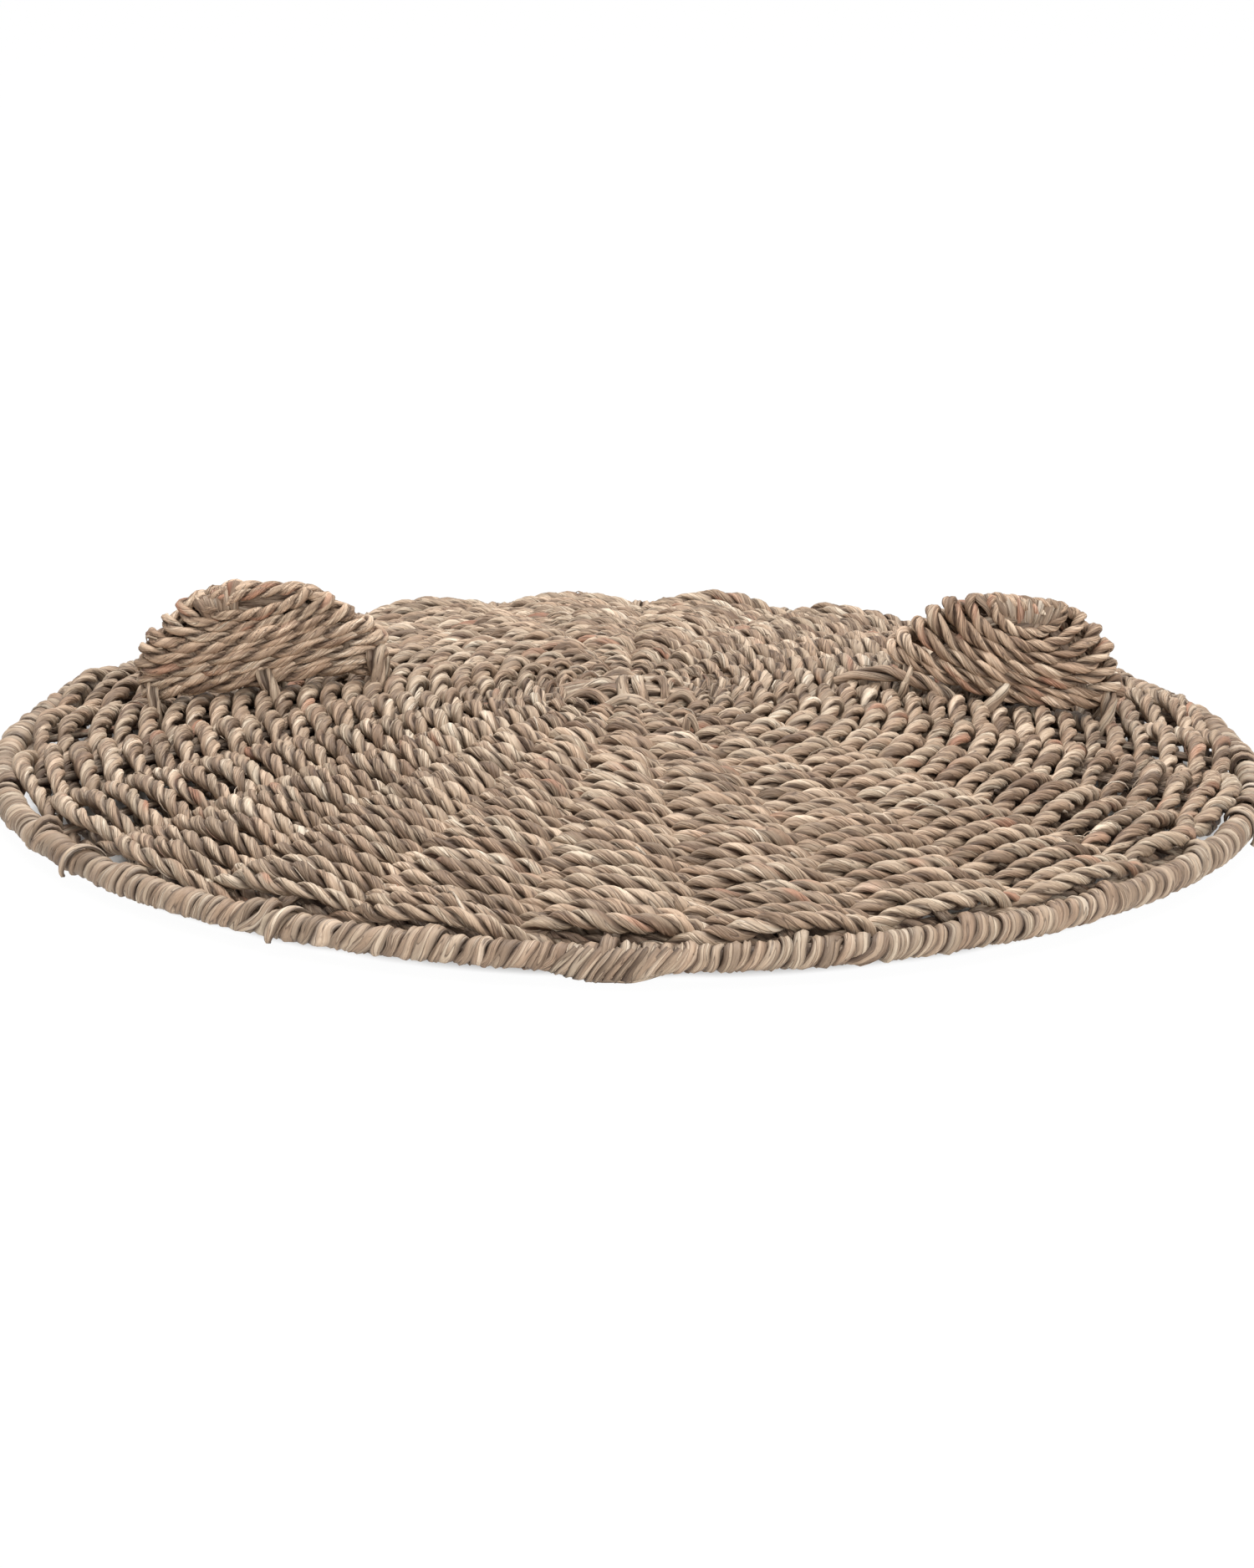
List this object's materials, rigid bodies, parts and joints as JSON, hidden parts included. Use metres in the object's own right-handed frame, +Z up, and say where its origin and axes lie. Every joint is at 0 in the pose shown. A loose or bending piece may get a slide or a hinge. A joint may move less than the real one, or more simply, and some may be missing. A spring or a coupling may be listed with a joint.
{
  "type": "woven basket lid",
  "caption": "Round, shallow-domed basket lid woven from twisted seagrass rope over radial stakes, with a wrapped wire rim and two standing woven ears.",
  "frame": {"origin": "under the middle of the lid, at the height of its lowest point", "axes": "+Z up along the lid's axis, -Y towards the front where the rim is spliced, +X to the right seen from the front"},
  "size_m": [0.4, 0.4, 0.0611],
  "materials": {
    "seagrass_rope": "dry twisted seagrass rope, matt",
    "seagrass_ear": "dry twisted seagrass rope, darker and matt",
    "seagrass_stake": "dry seagrass stalks, matt",
    "seagrass_binding": "flat seagrass strand wound tight, slight sheen",
    "seagrass_strand": "single seagrass strand, slight sheen",
    "steel_wire": "plain drawn wire"
  },
  "bodies": {
    "root": {"hoop_wire": "steel_wire", "rim_binding": "seagrass_binding", "rim_splice": "seagrass_binding", "woven_crown": "seagrass_rope", "centre_crossing": "seagrass_stake", "stake_01": "seagrass_stake", "stake_02": "seagrass_stake", "stake_03": "seagrass_stake", "stake_04": "seagrass_stake", "stake_05": "seagrass_stake", "stake_06": "seagrass_stake", "stake_07": "seagrass_stake", "stake_08": "seagrass_stake", "stake_09": "seagrass_stake", "stake_10": "seagrass_stake", "stake_11": "seagrass_stake", "stake_12": "seagrass_stake", "stake_13": "seagrass_stake", "stake_14": "seagrass_stake", "stake_15": "seagrass_stake", "stake_16": "seagrass_stake", "stake_17": "seagrass_stake", "stake_18": "seagrass_stake", "stake_19": "seagrass_stake", "stake_20": "seagrass_stake", "stake_21": "seagrass_stake", "stake_22": "seagrass_stake", "stake_23": "seagrass_stake", "ear_left_stitch_west": "seagrass_strand", "ear_left_stitch_middle": "seagrass_strand", "ear_left_stitch_east": "seagrass_strand", "ear_right_stitch_west": "seagrass_strand", "ear_right_stitch_middle": "seagrass_strand", "ear_right_stitch_east": "seagrass_strand", "rim_tail_left": "seagrass_strand", "rim_tail_front": "seagrass_strand", "rim_tail_right": "seagrass_strand"},
    "ear_left": {"ear_left": "seagrass_ear"},
    "ear_right": {"ear_right": "seagrass_ear"}
  },
  "joints": [
    {"name": "ear_left_rock", "type": "hinge", "parent": "root", "child": "ear_left", "pos_m": [-0.11556, 0.017, 0.03726], "axis": [0.9895, 0, 0.1445], "range_deg": [-12, 12]},
    {"name": "ear_right_rock", "type": "hinge", "parent": "root", "child": "ear_right", "pos_m": [0.11848, 0.022, 0.03672], "axis": [0.9891, 0, -0.1471], "range_deg": [-12, 12]}
  ]
}
